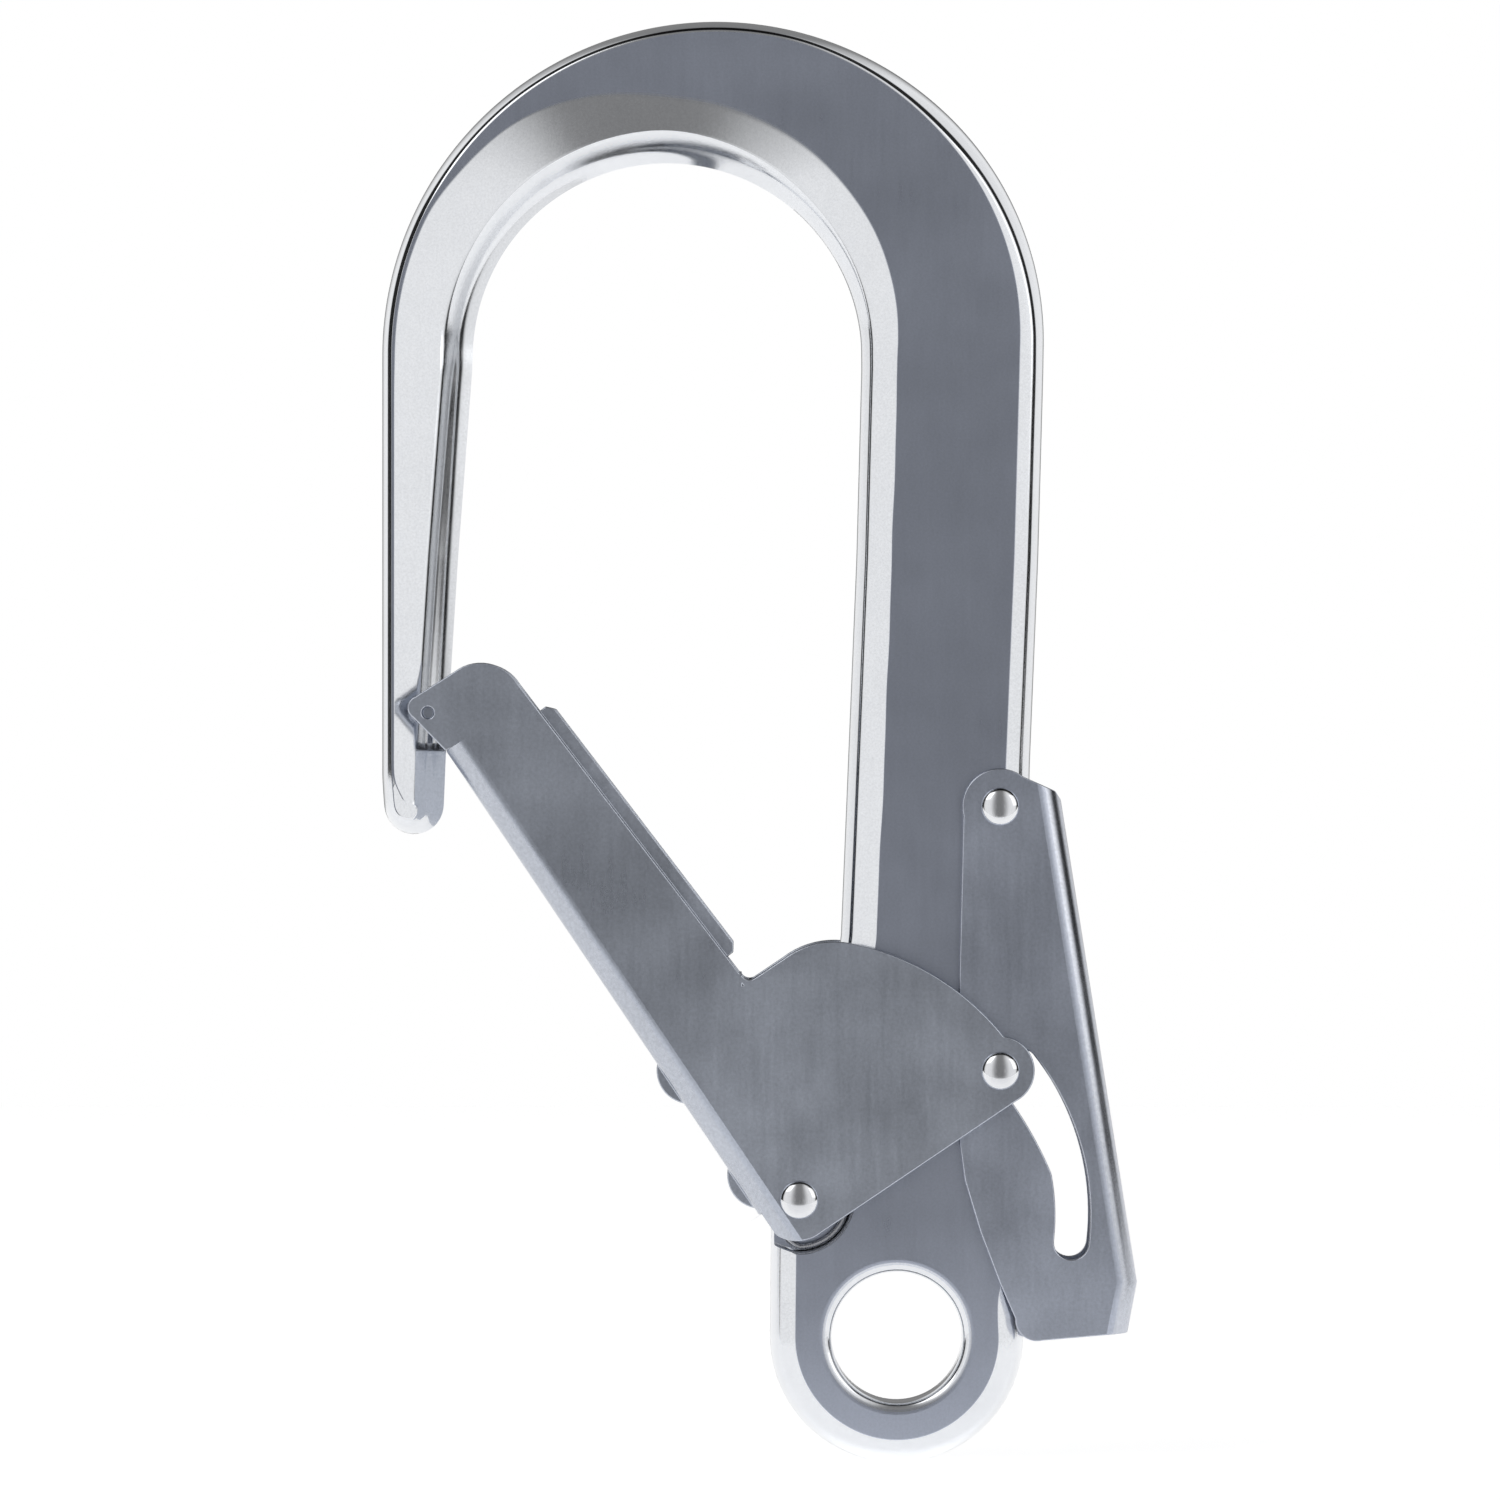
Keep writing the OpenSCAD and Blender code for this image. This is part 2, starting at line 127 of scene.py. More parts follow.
def tube(path, up, radius, sides=14):
    # a round section carried along the path: p + radius (cos a U + sin a V), where U and V are
    # square to the path's direction; the ends are closed by small domes
    way = np.gradient(path, axis=0)
    way /= np.linalg.norm(way, axis=1)[:, None]
    u = np.cross(way, up)
    u /= np.linalg.norm(u, axis=1)[:, None]
    v = np.cross(way, u)
    dome = np.array([0.0, 0.5, 0.85, 1.0])       # share of the radius at each end ring
    lead = np.sqrt(1 - dome ** 2)[:, None] * radius
    start = path[0] - lead * way[0]
    end = path[-1] + lead[::-1] * way[-1]
    n = len(path)
    pick = np.r_[np.zeros(4, int), np.arange(1, n - 1), np.full(4, n - 1)]
    centre = np.vstack([start, path[1:-1], end])
    size = np.r_[dome, np.ones(n - 2), dome[::-1]] * radius
    size[[0, -1]] = radius * 0.02
    a = np.linspace(0, 2 * np.pi, sides, endpoint=False)
    rings = centre[:, None] + size[:, None, None] * (
        np.cos(a)[None, :, None] * u[pick][:, None] + np.sin(a)[None, :, None] * v[pick][:, None])
    faces = gridFaces(len(centre), sides)
    faces.append(list(range(sides)))
    faces.append([(len(centre) - 1) * sides + k for k in range(sides)])
    return rings.reshape(-1, 3), faces


def paintedHighlightEdges(piece, low, high, sharp, slope=0.0):
    # face attribute for a painted highlight, set from how far each face turns from the thickness: 0 on faces square
    # to the thickness, 1 on bends, bevels and edges; flat faces, and those on a plane that falls by the slope along
    # X, keep their own normal
    mesh = piece.data
    normals = np.zeros(len(mesh.polygons) * 3, np.float32)
    mesh.polygons.foreach_get("normal", normals)
    facing, upwards = np.abs(normals.reshape(-1, 3)[:, 1:]).T
    value = 1 - np.clip((facing - low) / (high - low), 0, 1)
    attribute = mesh.attributes.new("paintedHighlight", "FLOAT", "FACE")
    attribute.data.foreach_set("value", value.astype(np.float32))
    mesh.shade_smooth()
    mesh.set_sharp_from_angle(angle=math.radians(sharp))
    sloped = (upwards < 0.01) & (np.abs(facing - 1 / math.hypot(1, slope)) < 0.0005)
    mesh.polygons.foreach_set("use_smooth", ~(sloped | (facing > 0.9999995)))


def settled(piece):
    # the piece with its modifiers applied
    depsgraph = bpy.context.evaluated_depsgraph_get()
    mesh = bpy.data.meshes.new_from_object(piece.evaluated_get(depsgraph))
    piece.modifiers.clear()
    piece.data = mesh
    return piece


# ---- finishes

def grainGroup():
    # fine tumbled grain, cloudy tone and short scratches for every metal
    group = bpy.data.node_groups.new("metalGrain", "ShaderNodeTree")
    for socket, kind, value in (("Vector", "NodeSocketVector", None), ("Grain Scale", "NodeSocketFloat", 2400),
                                ("Cloud Scale", "NodeSocketFloat", 70), ("Grain", "NodeSocketFloat", 0.2),
                                ("Cloud", "NodeSocketFloat", 0.1), ("Scratches", "NodeSocketFloat", 0.1)):
        made = group.interface.new_socket(socket, in_out="INPUT", socket_type=kind)
        if value is not None:
            made.default_value = value
    for socket in ("Tone", "Roughness", "Height"):
        group.interface.new_socket(socket, in_out="OUTPUT", socket_type="NodeSocketFloat")
    nodes, links = group.nodes, group.links
    given, made = nodes.new("NodeGroupInput"), nodes.new("NodeGroupOutput")
    fine, cloud, scratch = [nodes.new("ShaderNodeTexNoise") for _ in range(3)]
    fine.inputs["Detail"].default_value = 3
    fine.inputs["Roughness"].default_value = 0.65
    cloud.inputs["Detail"].default_value = 4
    scratch.inputs["Detail"].default_value = 2
    scratch.inputs["Scale"].default_value = 1
    stretch = nodes.new("ShaderNodeMapping")
    stretch.inputs["Rotation"].default_value = (0, math.radians(24), 0)
    stretch.inputs["Scale"].default_value = (1400, 900, 90)
    links.new(given.outputs["Vector"], stretch.inputs["Vector"])
    links.new(stretch.outputs["Vector"], scratch.inputs["Vector"])
    links.new(given.outputs["Vector"], fine.inputs["Vector"])
    links.new(given.outputs["Vector"], cloud.inputs["Vector"])
    links.new(given.outputs["Grain Scale"], fine.inputs["Scale"])
    links.new(given.outputs["Cloud Scale"], cloud.inputs["Scale"])

    def centred(source, amount):
        # (noise - 0.5) x 2 x amount
        shift = nodes.new("ShaderNodeMath")
        shift.operation = "SUBTRACT"
        shift.inputs[1].default_value = 0.5
        scale = nodes.new("ShaderNodeMath")
        scale.operation = "MULTIPLY"
        twice = nodes.new("ShaderNodeMath")
        twice.operation = "MULTIPLY"
        twice.inputs[1].default_value = 2
        links.new(source, shift.inputs[0])
        links.new(shift.outputs[0], twice.inputs[0])
        links.new(twice.outputs[0], scale.inputs[0])
        links.new(amount, scale.inputs[1])
        return scale.outputs[0]

    def add(a, b):
        node = nodes.new("ShaderNodeMath")
        node.operation = "ADD"
        links.new(a, node.inputs[0])
        if isinstance(b, float):
            node.inputs[1].default_value = b
        else:
            links.new(b, node.inputs[1])
        return node.outputs[0]

    grainPart = centred(fine.outputs["Fac"], given.outputs["Grain"])
    cloudPart = centred(cloud.outputs["Fac"], given.outputs["Cloud"])
    scratchPart = centred(scratch.outputs["Fac"], given.outputs["Scratches"])
    both = add(grainPart, cloudPart)
    links.new(add(add(both, scratchPart), 1.0), made.inputs["Tone"])
    links.new(add(cloudPart, scratchPart), made.inputs["Roughness"])
    links.new(add(grainPart, scratchPart), made.inputs["Height"])
    return group


def edgeHighlightGroup():
    # painted highlight on bends, bevels and edges, partly standing for rubbed wear: the face attribute, broken up by
    # noise into streaks
    group = bpy.data.node_groups.new("paintedEdgeHighlight", "ShaderNodeTree")
    group.interface.new_socket("Vector", in_out="INPUT", socket_type="NodeSocketVector")
    group.interface.new_socket("Bright", in_out="INPUT", socket_type="NodeSocketFloat")
    group.interface.new_socket("Streaks", in_out="INPUT", socket_type="NodeSocketFloat").default_value = 0.2
    group.interface.new_socket("Mask", in_out="OUTPUT", socket_type="NodeSocketFloat")
    nodes, links = group.nodes, group.links
    given, made = nodes.new("NodeGroupInput"), nodes.new("NodeGroupOutput")
    noise = nodes.new("ShaderNodeTexNoise")
    noise.inputs["Scale"].default_value = 420
    noise.inputs["Detail"].default_value = 3
    links.new(given.outputs["Vector"], noise.inputs["Vector"])
    highlightStreaks = nodes.new("ShaderNodeMath")
    highlightStreaks.operation = "MULTIPLY"
    links.new(noise.outputs["Fac"], highlightStreaks.inputs[0])
    links.new(given.outputs["Streaks"], highlightStreaks.inputs[1])
    less = nodes.new("ShaderNodeMath")
    less.operation = "SUBTRACT"
    less.use_clamp = True
    links.new(given.outputs["Bright"], less.inputs[0])
    links.new(highlightStreaks.outputs[0], less.inputs[1])
    links.new(less.outputs[0], made.inputs["Mask"])
    return group


grain, edgeHighlight = grainGroup(), edgeHighlightGroup()

# flat is each metal's own colour; edge is a lighter colour painted on bends, bevels, edges and the leg's facet as a
# painted highlight, partly standing for polished wear
finishes = dict(
    forgedAlloy=dict(flat=(0.44, 0.475, 0.565), edge=(0.80, 0.815, 0.84), flatRough=0.30, edgeRough=0.12,
                     grain=0.14, cloud=0.05, scratches=0.02, scale=2600, streaks=0.10, bump=0.010),
    gateSheet=dict(flat=(0.47, 0.505, 0.58), edge=(0.50, 0.525, 0.58), flatRough=0.32, edgeRough=0.26,
                   grain=0.24, cloud=0.12, scratches=0.03, scale=1700, streaks=0.25, bump=0.014),
    leverSheet=dict(flat=(0.45, 0.485, 0.57), edge=(0.56, 0.58, 0.63), flatRough=0.32, edgeRough=0.24,
                    grain=0.22, cloud=0.10, scratches=0.03, scale=1800, streaks=0.25, bump=0.014),
    rivetSteel=dict(flat=(0.68, 0.69, 0.72), edge=(0.80, 0.81, 0.83), flatRough=0.16, edgeRough=0.12,
                    grain=0.06, cloud=0.06, scratches=0.03, scale=2600, streaks=0.1, bump=0.004),
    springWire=dict(flat=(0.60, 0.61, 0.64), edge=(0.66, 0.67, 0.70), flatRough=0.26, edgeRough=0.22,
                    grain=0.10, cloud=0.10, scratches=0.05, scale=2600, streaks=0.1, bump=0.006),
    bushSteel=dict(flat=(0.50, 0.50, 0.51), edge=(0.55, 0.55, 0.56), flatRough=0.34, edgeRough=0.3,
                   grain=0.10, cloud=0.10, scratches=0.05, scale=2200, streaks=0.1, bump=0.006),
)


def metal(name, look):
    material = bpy.data.materials.new(name)
    material.use_nodes = True
    nodes, links = material.node_tree.nodes, material.node_tree.links
    shader = nodes["Principled BSDF"]
    shader.inputs["Metallic"].default_value = 1
    where = nodes.new("ShaderNodeTexCoord").outputs["Object"]
    texture = nodes.new("ShaderNodeGroup")
    texture.node_tree = grain
    links.new(where, texture.inputs["Vector"])
    for socket, key in (("Grain Scale", "scale"), ("Grain", "grain"), ("Cloud", "cloud"),
                        ("Scratches", "scratches")):
        texture.inputs[socket].default_value = look[key]
    highlightStreaks = nodes.new("ShaderNodeGroup")
    highlightStreaks.node_tree = edgeHighlight
    highlightStreaks.inputs["Streaks"].default_value = look["streaks"]
    paintedHighlight = nodes.new("ShaderNodeAttribute")
    paintedHighlight.attribute_name = "paintedHighlight"
    links.new(where, highlightStreaks.inputs["Vector"])
    links.new(paintedHighlight.outputs["Fac"], highlightStreaks.inputs["Bright"])
    # painted highlight: the lighter edge colour is mixed in on bends, bevels and edges by the mask
    colour = nodes.new("ShaderNodeMix")
    colour.data_type = "RGBA"
    colour.inputs["A"].default_value = (*look["flat"], 1)
    colour.inputs["B"].default_value = (*look["edge"], 1)
    links.new(highlightStreaks.outputs["Mask"], colour.inputs["Factor"])
    toned = nodes.new("ShaderNodeVectorMath")
    toned.operation = "SCALE"
    links.new(colour.outputs["Result"], toned.inputs[0])
    links.new(texture.outputs["Tone"], toned.inputs["Scale"])
    links.new(toned.outputs[0], shader.inputs["Base Color"])
    rough = nodes.new("ShaderNodeMapRange")
    rough.inputs["To Min"].default_value = look["flatRough"]
    rough.inputs["To Max"].default_value = look["edgeRough"]
    links.new(highlightStreaks.outputs["Mask"], rough.inputs["Value"])
    roughSum = nodes.new("ShaderNodeMath")
    roughSum.operation = "ADD"
    links.new(rough.outputs[0], roughSum.inputs[0])
    links.new(texture.outputs["Roughness"], roughSum.inputs[1])
    links.new(roughSum.outputs[0], shader.inputs["Roughness"])
    bump = nodes.new("ShaderNodeBump")
    bump.inputs["Strength"].default_value = 1
    bump.inputs["Distance"].default_value = look["bump"] * mm
    links.new(texture.outputs["Height"], bump.inputs["Height"])
    links.new(bump.outputs[0], shader.inputs["Normal"])
    return material


materials = {name: metal(name, look) for name, look in finishes.items()}
print("materials made:", sorted(materials))


def finishPiece(piece, material, body, slot, *nodes):
    piece.data.materials.clear()
    piece.data.materials.append(materials[material])
    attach(piece, body)
    if nodes:
        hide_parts(*nodes)
    print("piece ready:", piece.name, len(piece.data.polygons), "faces")


# ---- hook body

hook = dict(
    half=6.5,
    outerCentre=(-30.05, 163.3), outerRadius=55.65,
    shoulderCentre=(-27.497, 165.853), shoulderRadius=52.04,
    innerCentre=(-38.23, 162.97), innerRadius=32.4,
    spineOut=[(21.6, 66), (22.2, 95), (23.6, 129.25), (24.45, 160)],
    spineIn=[(-5.86, 161), (-6.7, 129.25), (-9.3, 66)],
    legOut=[(-85.7, 162), (-85.7, 93)],
    tipCentre=(-80.4, 88.5), tipRadius=5.0,
    legIn=[(-75.3, 92), (-75.1, 97), (-73.1, 129.25), (-70.7, 161)],
    neckRadius=4.6, pinClearRadius=37.53, pinClearFrom=-14, pinClearTo=39,
    eyeRadius=21.1, boreRadius=10.85, mouthWidth=2.05, mouthDepth=1.6,
    recessRadius=8.8, recessFloor=3.3, springHoleRadius=2.75,
    step=0.8, lineBlur=0.7, edgeBlur=3.0, waviness=0.10, farEdge=1.95, flatLine=0.06,
)
# widths of the wall, the steep edge and the bevel, how deep the steep edge and the bevel drop, how
# soft the corner under and over the bevel is, where the wall bends (shares of its width and its
# height), and the share of the leg's facet
edges = dict(
    eyeSide=(1.0, 0.6, 2.6, 0.6, 0.80, 0.30, 0.15, 0.30, 0.50, 0),
    eyeFoot=(1.5, 0.7, 1.8, 0.8, 0.55, 0.35, 0.20, 0.30, 0.50, 0),
    notch=(0.4, 0.3, 0.3, 0.3, 0.10, 0.15, 0.10, 0.30, 0.50, 0),
    spineOut=(1.3, 0.6, 2.2, 0.6, 0.65, 0.30, 0.20, 0.30, 0.50, 0),
    shoulder=(2.2, 0.6, 0.4, 0.6, 0.12, 0.30, 0.15, 0.30, 0.50, 0),
    bowTop=(1.2, 0.5, 0.3, 0.5, 0.10, 0.25, 0.10, 0.30, 0.50, 0),
    legOut=(1.0, 0.7, 0.05, 0.7, 0.03, 0.25, 0.05, 0.30, 0.50, 0),
    legSide=(1.0, 0.7, 0.05, 0.7, 0.03, 0.25, 0.05, 0.30, 0.50, 1),
    tip=(0.9, 0.9, 0.05, 1.3, 0.03, 0.50, 0.05, 0.30, 0.50, 1),
    legIn=(3.2, 1.7, 12, 1.8, 2.10, 0.50, 0.10, 0.60, 0.33, 1),
    bowInLeft=(3.0, 1.9, 9.0, 1.9, 2.60, 0.60, 0.30, 0.60, 0.40, 0),
    bowInTop=(2.9, 2.2, 5.6, 2.2, 1.60, 0.70, 1.20, 0.60, 0.50, 0),
    bowInRight=(1.8, 0.9, 6.2, 0.9, 1.80, 0.40, 0.40, 0.30, 0.50, 0),
    spineIn=(1.4, 0.5, 4.0, 0.5, 1.25, 0.25, 0.15, 0.30, 0.50, 0),
)
# the leg's facet: where it starts from the flat, and how much it drops for each mm towards the
# opening
facet = dict(start=-83.7, slope=0.30)


def hookLine(h):
    # stretches of the outline, counter-clockwise, each with the kinds of edge at its two ends
    neckSide = [(gatePivot[0] + h["neckRadius"] * math.cos(a), gatePivot[1] + h["neckRadius"] * math.sin(a))
                for a in np.radians([165, 172, 180])]
    eye, outer, inner = (0, 0), h["outerCentre"], h["innerCentre"]
    return [
        ([(h["eyeRadius"], 0), (20.6, 8)], "eyeSide", "eyeSide"),
        (arc(gatePivot, h["pinClearRadius"], h["pinClearFrom"], h["pinClearTo"]), "notch", "notch"),
        ([(21.6, 53.7), (21.6, 60)], "notch", "notch"),
        (h["spineOut"], "spineOut", "spineOut"),
        (arc(h["shoulderCentre"], h["shoulderRadius"], -2, 45), "spineOut", "shoulder"),
        (arc(outer, h["outerRadius"], 45, 75), "shoulder", "bowTop"),
        (arc(outer, h["outerRadius"], 76, 150), "bowTop", "bowTop"),
        (arc(outer, h["outerRadius"], 151, 180), "legOut", "legOut"),
        (h["legOut"], "legSide", "legSide"),
        (arc(h["tipCentre"], h["tipRadius"], 185, 290), "tip", "tip"),
        (arc(h["tipCentre"], h["tipRadius"], 300, 350), "legIn", "legIn"),
        (h["legIn"], "legIn", "legIn"),
        (arc(inner, h["innerRadius"], 180, 120), "bowInLeft", "bowInLeft"),
        (arc(inner, h["innerRadius"], 119, 90), "bowInLeft", "bowInTop"),
        (arc(inner, h["innerRadius"], 89, 45), "bowInTop", "bowInRight"),
        (arc(inner, h["innerRadius"], 44, 4), "bowInRight", "spineIn"),
        (h["spineIn"], "spineIn", "spineIn"),
        (neckSide, "eyeSide", "eyeSide"),
        (arc(eye, h["eyeRadius"], 180, 225), "eyeSide", "eyeSide"),
        (arc(eye, h["eyeRadius"], 227, 270), "eyeSide", "eyeFoot"),
        (arc(eye, h["eyeRadius"], 272, 313), "eyeFoot", "eyeSide"),
        (arc(eye, h["eyeRadius"], 315, 360)[:-1], "eyeSide", "eyeSide"),
    ]


def blurred(values, step, width):
    # Gaussian blur along a closed line, done as a product in the frequency domain
    frequency = np.fft.rfftfreq(len(values), step)
    kernel = np.exp(-2 * (np.pi * frequency * width) ** 2)[:, None]
    return np.fft.irfft(np.fft.rfft(values, axis=0) * kernel, len(values), axis=0)


def hookRings(h):
    # the outline at even steps, its inward normals, and the profile carried along it:
    # point(s, k) = line(s) + inset(s, k) normal(s), at the height(s, k)
    stretches = hookLine(h)
    corners = np.vstack([np.asarray(points, float) for points, _, _ in stretches])
    kinds = np.vstack([np.linspace(edges[first], edges[last], len(points)) for points, first, last in stretches])
    closed, kinds = np.vstack([corners, corners[:1]]), np.vstack([kinds, kinds[:1]])
    length = np.r_[0, np.cumsum(np.hypot(*np.diff(closed, axis=0).T))]
    count = int(length[-1] / h["step"])
    at = np.linspace(0, length[-1], count, endpoint=False)
    step = length[-1] / count
    line = np.stack([np.interp(at, length, closed[:, k]) for k in range(2)], 1)
    edge = np.stack([np.interp(at, length, kinds[:, k]) for k in range(kinds.shape[1])], 1)
    line, edge = blurred(line, step, h["lineBlur"]), blurred(edge, step, h["edgeBlur"])
    edge[:, :-1] = np.maximum(edge[:, :-1], 0.03)
    edge[:, -1] = np.clip(edge[:, -1], 0, 1)
    way = np.roll(line, -1, 0) - np.roll(line, 1, 0)
    way /= np.linalg.norm(way, axis=1)[:, None]
    normal = np.stack([-way[:, 1], way[:, 0]], 1)
    # distance across to the opposite edge, which the leg's wide bevel fills
    across = line[None] - line[:, None]
    distance = np.linalg.norm(across, axis=2)
    opposite = (normal @ normal.T < -0.3) & (np.einsum("ijk,ik->ij", across, normal) > 0)
    room = np.where(opposite, distance, 99).min(1)
    wall, ledge, bevel, ledgeDrop, bevelDrop, ledgeSoft, bevelSoft, bendAcross, bendUp, leg = edge.T
    rest = h["flatLine"] + 1.1 * bevelSoft
    wave = np.sin(at / 4.3) + 0.8 * np.sin(at / 9.7 + 1) + 0.5 * np.sin(at / 2.1 + 2)
    bevel = bevel + h["waviness"] * wave * np.clip((bevel - 3) / 1.5, 0, 1)
    bevel = np.minimum(bevel, room - wall - ledge - rest - h["farEdge"])
    # and where the outline turns tightly the profile stays inside the turn's radius
    heading = np.unwrap(np.arctan2(way[:, 1], way[:, 0]))
    turning = np.diff(heading, append=heading[0] + 2 * np.pi) / step
    tightest = 0.85 / np.maximum(blurred(turning[:, None], step, 1.0)[:, 0], 0.01)
    bevel = np.minimum(bevel, tightest - wall - ledge - rest)
    bevel = np.maximum(blurred(bevel[:, None], step, 1.2)[:, 0], 0.03)
    inset = wall + ledge + bevel + rest
    shrink = blurred(np.minimum(1, tightest / inset)[:, None], step, 1.2)[:, 0]
    wall, ledge, bevel, inset = wall * shrink, ledge * shrink, bevel * shrink, inset * shrink
    # on the leg the face lies on the facet: top = half - slope (x - start)
    past = np.maximum(line[:, 0] + inset * normal[:, 0] - facet["start"], 0)
    top = h["half"] - leg * facet["slope"] * past
    bevelDrop = (1 - leg) * bevelDrop + leg * facet["slope"] * bevel * np.maximum(-normal[:, 0], 0)
    low = top - bevelDrop - ledgeDrop
    zero = 0 * wall
    profile = softCorners(
        [np.stack(p, 1) for p in (
            (zero, zero), (bendAcross * wall, bendUp * low), (wall, low), (wall + ledge, top - bevelDrop),
            (wall + ledge + bevel, top), (inset, top))],
        [zero + 3, 0.3 + 0.3 * ledgeSoft, ledgeSoft, bevelSoft])
    flat = line[None] + profile[:, :, :1] * normal[None]
    return flat, profile[:, :, 1]


def doubled(flat, height):
    # rings from the front face's inner ring over the middle to the rear face's
    front = np.stack([flat[..., 0], -height, flat[..., 1]], 2)[::-1]
    rear = np.stack([flat[..., 0], height, flat[..., 1]], 2)[1:]
    return np.concatenate([front, rear])


def makeHook(h):
    flat, height = hookRings(h)
    outside = doubled(flat, height)
    # the bore with its rounded mouths, carried round the eye's centre
    a = np.linspace(0, 2 * np.pi, 144, endpoint=False)
    u = np.linspace(0, 1, 9)
    inset = np.r_[0, u ** 2 * h["mouthWidth"], h["mouthWidth"] + 0.25]
    rise = np.r_[0, h["half"] - h["mouthDepth"] * (1 - u) ** 2, h["half"]]
    radius = h["boreRadius"] + inset
    ringFlat = radius[:, None, None] * np.stack([np.cos(a), np.sin(a)], 1)[None]
    bore = doubled(ringFlat, rise[:, None] + 0 * a[None])
    rows, columns = outside.shape[:2]
    boreRows, boreColumns = bore.shape[:2]
    vertices = np.vstack([outside.reshape(-1, 3), bore.reshape(-1, 3)])
    boreStart = rows * columns
    faces = gridFaces(rows, columns) + gridFaces(boreRows, boreColumns, boreStart)
    # the two flat faces, each between the outline's last ring and the bore's
    for row, boreRow in ((0, 0), (rows - 1, boreRows - 1)):
        index = np.r_[row * columns + np.arange(columns), boreStart + boreRow * boreColumns + np.arange(boreColumns)]
        loops = [[Vector((*flat[-1, k], 0)) for k in range(columns)],
                 [Vector((*ringFlat[-1, k], 0)) for k in range(boreColumns)]]
        faces += [[int(index[k]) for k in triangle] for triangle in tessellate_polygon(loops)]
    return makeMesh("hookBody", vertices, faces)


def cutters(h):
    # pockets round the gate's pivot on both faces, and the blind hole for the lever's spring
    r, floor = h["recessRadius"], h["recessFloor"]
    pocket = [(0, floor), (r - 0.5, floor), (r - 0.15, floor + 0.15), (r, floor + 0.5), (r, 5.9), (r + 0.15, 6.25),
              (r + 0.6, 6.6), (r + 0.8, 8), (0, 8)]
    parts = [revolve(gatePivot, pocket, 96, 0, side) for side in (-1, 1)]
    outward = np.array([math.cos(leverTurn), 0, math.sin(leverTurn)])
    along = np.array([-math.sin(leverTurn), 0, math.cos(leverTurn)])
    middle = np.array([leverPivot[0], 0, leverPivot[1]]) - 18 * along
    a = np.linspace(0, 2 * np.pi, 48, endpoint=False)
    circle = h["springHoleRadius"] * (np.cos(a)[:, None] * [0, 1, 0] + np.sin(a)[:, None] * along)
    rings = np.concatenate([middle - 7 * outward + circle, middle + 20 * outward + circle])
    faces = gridFaces(2, 48) + [list(range(48)), list(range(48, 96))]
    parts.append((rings, faces))
    return [makeMesh("hookCutter" + str(k), *part) for k, part in enumerate(parts)]


hookBody = makeHook(hook)
tools = cutters(hook)
for tool in tools:
    cut = hookBody.modifiers.new(tool.name, "BOOLEAN")
    cut.operation = "DIFFERENCE"
    cut.solver = "EXACT"
    cut.object = tool
settled(hookBody)
for tool in tools:
    bpy.data.objects.remove(tool)
# bevels, edges and the leg's sloped facet get the painted highlight
paintedHighlightEdges(hookBody, 0.975, 0.996, 38, facet["slope"])
finishPiece(hookBody, "forgedAlloy", "hook", "forged_alloy", "hook_body")


# ---- folded gate and lever

sheets = dict(
    gateChannel=dict(node="gate", edge=0.20, merge=0.05, material="gateSheet", body="gate", slot="gate_sheet"),
    leverChannel=dict(node="lever", edge=0.20, merge=0.004, material="leverSheet", body="lever", slot="lever_sheet"),
)


def roundedSheet(name, s):
    # a copy of the CAD solid with its flat faces joined and its edges rolled over
    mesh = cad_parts[s["node"]].data.copy()
    mesh.materials.clear()
    work = bmesh.new()
    work.from_mesh(mesh)
    bmesh.ops.remove_doubles(work, verts=work.verts, dist=s["merge"] * mm)
    bmesh.ops.dissolve_limit(work, angle_limit=math.radians(0.6), verts=work.verts, edges=work.edges)
    work.to_mesh(mesh)
    work.free()
    piece = bpy.data.objects.new(name, mesh)
    scene.collection.objects.link(piece)
    mesh.shade_smooth()
    edge = piece.modifiers.new("rolled edges", "BEVEL")
    edge.width = s["edge"] * mm
    edge.segments = 3
    edge.limit_method = "ANGLE"
    edge.angle_limit = math.radians(32)
    edge.use_clamp_overlap = False
    edge.miter_outer = "MITER_ARC"
    settled(piece)
    # bends and rolled edges get the painted highlight
    paintedHighlightEdges(piece, 0.93, 0.995, 30)
    return piece


for name, s in sheets.items():
    finishPiece(roundedSheet(name, s), s["material"], s["body"], s["slot"], s["node"])


# ---- rivets and bushes

rivets = dict(
    gatePivotRivet=dict(at=gatePivot, shank=2.0, face=10.6, body="gate", node="gate_pivot_rivet"),
    leverPivotRivet=dict(at=leverPivot, shank=2.0, face=8.3, body="lever", node="lever_pivot_rivet"),
    lockPin=dict(at=lockPinAt, shank=1.5, face=10.6, body="gate", node="lock_pin"),
)
head = dict(radius=3.15, height=1.45, rim=0.22)


def makeRivet(name, r):
    # revolved profile: dome, rolled rim, under side of the head, shank, and the same at the rear
    t = np.linspace(0, np.pi / 2, 12)
    domeR = head["radius"] * np.sin(t) ** 0.9
    domeY = r["face"] + head["rim"] + (head["height"] - head["rim"]) * np.cos(t)
    half = list(zip(domeR, domeY)) + [(head["radius"], r["face"] + 0.08), (head["radius"] - 0.08, r["face"]),
                                      (r["shank"] + 0.1, r["face"]), (r["shank"], r["face"] - 0.1)]
    profile = half + [(radius, -y) for radius, y in reversed(half)]
    piece = makeMesh(name, *revolve(r["at"], profile, 72))
    # the dome's slope and rim get the painted highlight
    paintedHighlightEdges(piece, 0.9, 1.0, 40)
    finishPiece(piece, "rivetSteel", r["body"], "rivet_steel", r["node"])


for name, r in rivets.items():
    makeRivet(name, r)
for node in ("gate_spacer_front", "gate_spacer_rear"):
    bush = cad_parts[node]
    bush.data.materials.clear()
    bush.data.materials.append(materials["bushSteel"])


# ---- springs

